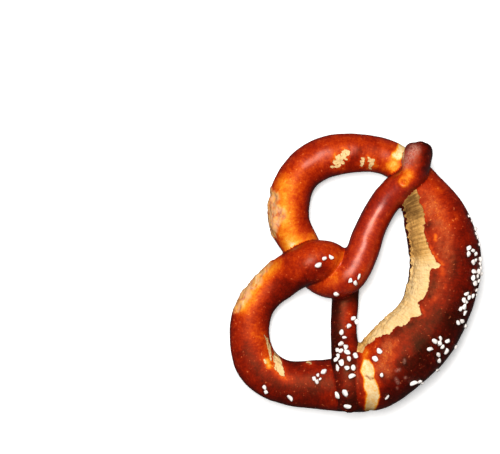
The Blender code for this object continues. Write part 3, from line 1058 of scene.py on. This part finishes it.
CRUMB_COLOURS = [(0.0, "#efcb90"), (0.3, "#e2b673"), (0.6, "#c99650"), (0.9, "#a2763d"), (1.2, "#6b4a22")]
ramp = add_node(tree, "ShaderNodeValToRGB", {}, {"Fac": add_node(
    tree, "ShaderNodeMath", {"operation": "DIVIDE"}, {0: shaded_and_tanned, 1: 1.4}
).outputs[0]})
while len(ramp.color_ramp.elements) < len(CRUMB_COLOURS):
    ramp.color_ramp.elements.new(0.5)
for stop, (position, hex_value) in zip(ramp.color_ramp.elements, CRUMB_COLOURS):
    stop.position = position / 1.4
    stop.color = colour(hex_value)
crumb_colour = ramp.outputs["Color"]
print("crumb strands every", STRAND_SPACING, "mm")

# %% Mix the three surfaces
skin_colour = add_node(
    tree, "ShaderNodeMix", {"data_type": "RGBA"}, {0: crumb_shows, 6: crust_colour, 7: crumb_colour}
).outputs[2]
cracked = add_node(
    tree, "ShaderNodeMix", {"data_type": "RGBA"}, {0: measured["crack"], 6: skin_colour, 7: colour("#8a4a1c")}
).outputs[2]
base_mottle = add_node(
    tree, "ShaderNodeMath", {"operation": "MULTIPLY_ADD"}, {0: mottle, 1: 0.6, 2: cloud}
).outputs[0]
base_mottle = add_node(
    tree, "ShaderNodeMapRange", {}, {"Value": base_mottle, "From Min": 0.5, "From Max": 1.1}
).outputs["Result"]
base_colour = add_node(
    tree, "ShaderNodeMix", {"data_type": "RGBA"}, {0: base_mottle, 6: colour("#b0742f"), 7: colour("#6a3411")}
).outputs[2]
whole_colour = add_node(
    tree, "ShaderNodeMix", {"data_type": "RGBA"}, {0: measured["underside"], 6: cracked, 7: base_colour}
).outputs[2]
matte = add_node(
    tree, "ShaderNodeMath", {"operation": "MAXIMUM"}, {0: crumb_shows, 1: measured["underside"]}
).outputs[0]
crust_roughness = add_node(
    tree, "ShaderNodeMapRange", {}, {"Value": measured["dryness"], "To Min": 0.30, "To Max": 0.72}
).outputs["Result"]
roughness = add_node(
    tree, "ShaderNodeMix", {"data_type": "FLOAT"}, {0: matte, 2: crust_roughness, 3: 0.9}
).outputs[0]
film_of_glass = add_node(
    tree,
    "ShaderNodeMapRange",
    {},
    {"Value": measured["dryness"], "From Min": 0.0, "From Max": 0.25, "To Min": 0.75, "To Max": 0.0},
).outputs["Result"]
not_matte = add_node(tree, "ShaderNodeMath", {"operation": "SUBTRACT"}, {0: 1.0, 1: matte}).outputs[0]
gloss = add_node(
    tree, "ShaderNodeMath", {"operation": "MULTIPLY"}, {0: film_of_glass, 1: not_matte}
).outputs[0]
print("crust is glossy, crumb and base are matte")

# %% Fine heights and the surface itself
pebble = add_node(
    tree, "ShaderNodeTexNoise", {}, {"Vector": place, "Scale": 1 / (1.5 * MM), "Detail": 3.0}
).outputs["Fac"]
crust_relief = add_node(
    tree, "ShaderNodeMath", {"operation": "MULTIPLY_ADD"}, {0: pebble, 1: 1.4, 2: flecks_and_glints}
).outputs[0]
relief_strength = add_node(
    tree, "ShaderNodeMapRange", {}, {"Value": measured["dryness"], "To Min": 0.025, "To Max": 0.10}
).outputs["Result"]
crust_relief = add_node(
    tree, "ShaderNodeMath", {"operation": "MULTIPLY"}, {0: crust_relief, 1: relief_strength}
).outputs[0]
crust_relief = add_node(
    tree, "ShaderNodeMath", {"operation": "MULTIPLY_ADD"}, {0: hairlines, 1: 0.12, 2: crust_relief}
).outputs[0]
crumb_relief = add_node(
    tree, "ShaderNodeMath", {"operation": "MULTIPLY_ADD"}, {0: strands, 1: 0.45, 2: pores}
).outputs[0]
relief = add_node(
    tree, "ShaderNodeMix", {"data_type": "FLOAT"}, {0: crumb_shows, 2: crust_relief, 3: crumb_relief}
).outputs[0]
bump = add_node(
    tree, "ShaderNodeBump", {}, {"Height": relief, "Distance": MM, "Strength": 1.0}
).outputs["Normal"]
surface = add_node(
    tree,
    "ShaderNodeBsdfPrincipled",
    {},
    {
        "Base Color": whole_colour,
        "Roughness": roughness,
        "Specular IOR Level": 0.37,
        "Specular Tint": colour("#ffa66c"),
        "Coat Weight": gloss,
        "Coat Roughness": 0.32,
        "Coat IOR": 1.6,
        "Normal": bump,
    },
).outputs["BSDF"]
add_node(tree, "ShaderNodeOutputMaterial", {}, {"Surface": surface})
skin_mesh.materials.clear()
skin_mesh.materials.append(crust)
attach(skin, "root")
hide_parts("pretzel")
print("the skin carries", crust.name)

# %% Shape the grains
SUNK = 0.2
CORNERS = 20
WEAR_PASSES = 2  # how often a grain's edges are eased


def grain_shape(length, breadth):
    """One grain, in millimetres: the hull of a few corners on a flattened ball, with worn edges."""
    grain = bmesh.new()
    for _ in range(CORNERS):
        corner = Vector([chance.gauss(0, 1) for _ in range(3)]).normalized()
        grain.verts.new(corner * chance.uniform(0.94, 1.04))
    hull = bmesh.ops.convex_hull(grain, input=grain.verts)
    bmesh.ops.delete(grain, geom=hull["geom_interior"], context="VERTS")
    bmesh.ops.subdivide_edges(grain, edges=grain.edges[:], cuts=2, use_grid_fill=True)
    for _ in range(WEAR_PASSES):
        bmesh.ops.smooth_vert(
            grain, verts=grain.verts[:], factor=0.5, use_axis_x=True, use_axis_y=True, use_axis_z=True
        )
    bmesh.ops.triangulate(grain, faces=grain.faces[:])
    grain.verts.index_update()
    places = np.array([vertex.co for vertex in grain.verts])
    faces = [[vertex.index for vertex in face.verts] for face in grain.faces]
    grain.free()
    places -= (places.max(0) + places.min(0)) / 2
    places /= (places.max(0) - places.min(0)) / 2
    sizes = 1.08 * np.array([length, breadth, breadth * chance.uniform(0.75, 0.95)])
    return places * sizes / 2, faces


salt_points = []
salt_faces = []
corners_so_far = 0
for spot, normal, length, breadth, heading in resting:
    places, faces = grain_shape(length, breadth)
    lean = Vector((chance.gauss(0, 0.12), chance.gauss(0, 0.12), 0))
    upright = (normal + lean).normalized()
    ahead = Vector((math.cos(heading), math.sin(heading), 0))
    ahead = (ahead - upright * ahead.dot(upright)).normalized()
    turned = np.array(Matrix((ahead, upright.cross(ahead), upright)).transposed())
    middle = np.array(spot) + np.array(normal) * places[:, 2].max() * (1 - 2 * SUNK)
    salt_points.append(places @ turned.T + middle)
    salt_faces.extend([[corners_so_far + corner for corner in face] for face in faces])
    corners_so_far += len(places)
salt_mesh = bpy.data.meshes.new("salt")
salt_mesh.from_pydata([tuple(point) for point in np.concatenate(salt_points) * MM], [], salt_faces)
salt = bpy.data.objects.new("salt_grains", salt_mesh)
bpy.context.collection.objects.link(salt)
print("the salt has", len(salt_mesh.polygons), "faces")

# %% [markdown]
# **Pressed salt** is compacted white crystal: it scatters light all through, so the eye sees an even
# milky white with soft edges and only a weak gloss. Its IOR is 1.54.

# %% Pressed salt
pressed_salt = bpy.data.materials.new("pressed_salt")
pressed_salt.use_nodes = True
tree = pressed_salt.node_tree
tree.nodes.clear()
place = add_node(tree, "ShaderNodeTexCoord", {}, {}).outputs["Object"]
grit = add_node(
    tree, "ShaderNodeTexNoise", {}, {"Vector": place, "Scale": 1 / (0.5 * MM), "Detail": 2.0}
).outputs["Fac"]
milky = add_node(
    tree, "ShaderNodeMix", {"data_type": "RGBA"}, {0: grit, 6: colour("#f3e6dc"), 7: colour("#fffaf4")}
).outputs[2]
grit_bump = add_node(
    tree, "ShaderNodeBump", {}, {"Height": grit, "Distance": 0.12 * MM, "Strength": 1.0}
).outputs["Normal"]
surface = add_node(
    tree,
    "ShaderNodeBsdfPrincipled",
    {},
    {"Base Color": milky, "Roughness": 0.5, "IOR": 1.54, "Normal": grit_bump},
).outputs["BSDF"]
add_node(tree, "ShaderNodeOutputMaterial", {}, {"Surface": surface})
salt_mesh.materials.append(pressed_salt)
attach(salt, "root")
print("the salt carries", pressed_salt.name)

# %% [markdown]
# ## Studio
#
# The pretzel lies on a plain pale sheet under one broad soft light almost overhead, with a weak grey
# surround. The camera looks straight down through a long lens.

# %% Floor
FLOOR_SIDE = 3.0
floor_mesh = bpy.data.meshes.new("floor")
half = FLOOR_SIDE / 2
floor_mesh.from_pydata(
    [(-half, -half, 0), (half, -half, 0), (half, half, 0), (-half, half, 0)], [], [(0, 1, 2, 3)]
)
floor = bpy.data.objects.new("floor", floor_mesh)
bpy.context.collection.objects.link(floor)
paper = bpy.data.materials.new("matte_white_paper")
paper.use_nodes = True
tree = paper.node_tree
tree.nodes.clear()
surface = add_node(
    tree,
    "ShaderNodeBsdfPrincipled",
    {},
    {
        "Base Color": colour("#f7f5f3"),
        "Roughness": 0.9,
        "Emission Color": colour("#ffffff"),
        "Emission Strength": 0.35,
    },
).outputs["BSDF"]
add_node(tree, "ShaderNodeOutputMaterial", {}, {"Surface": surface})
floor_mesh.materials.append(paper)
floor.location.z = -0.0002
floor.visible_diffuse = False
floor.visible_glossy = False
print("floor in place")

# %% Light
SOFTBOXES = {  # spot, length along the picture's height, breadth, in m, and watts
    "overhead_softbox": ((0.2, 0.22, 0.92), 0.9, 0.42, 15.2),
}
for name, (spot, length, breadth, watts) in SOFTBOXES.items():
    softbox = bpy.data.lights.new(name, "AREA")
    softbox.shape = "RECTANGLE"
    softbox.size = length
    softbox.size_y = breadth
    softbox.energy = watts
    lamp = bpy.data.objects.new(name, softbox)
    back = Vector(spot).normalized()
    across = back.cross(Vector((1, 0, 0))).normalized()
    lengthwise = across.cross(back)
    lamp.matrix_world = Matrix.Translation(spot) @ Matrix((lengthwise, across, back)).transposed().to_4x4()
    bpy.context.collection.objects.link(lamp)
world = bpy.data.worlds.new("soft_surround")
world.use_nodes = True
world.node_tree.nodes["Background"].inputs["Color"].default_value = (1, 1, 1, 1)
world.node_tree.nodes["Background"].inputs["Strength"].default_value = 0.07
bpy.context.scene.world = world
bpy.context.scene.view_settings.view_transform = "Standard"
print("softboxes:", list(SOFTBOXES))

# %% Camera
CAMERA_HEIGHT = 1.0
FIELD_WIDTH = 275 * MM  # what the picture's long side covers at the pretzel's middle height
AIM = ((5.3 + shift[0]) * MM, (70.2 + shift[1]) * MM)
MIDDLE_HEIGHT = 20 * MM
PICTURE_UP = Vector((0.9553, 0.2957, 0))
camera_data = bpy.data.cameras.new("long_lens")
camera_data.sensor_width = 36.0
camera_data.lens = 36.0 * (CAMERA_HEIGHT - MIDDLE_HEIGHT) / FIELD_WIDTH
camera = bpy.data.objects.new("long_lens", camera_data)
towards_viewer = Vector((0, 0, 1))
picture_right = PICTURE_UP.cross(towards_viewer)
camera.matrix_world = Matrix.Translation((*AIM, CAMERA_HEIGHT)) @ Matrix(
    (picture_right, PICTURE_UP, towards_viewer)
).transposed().to_4x4()
bpy.context.collection.objects.link(camera)
bpy.context.scene.camera = camera
print("camera lens", round(camera_data.lens), "mm")
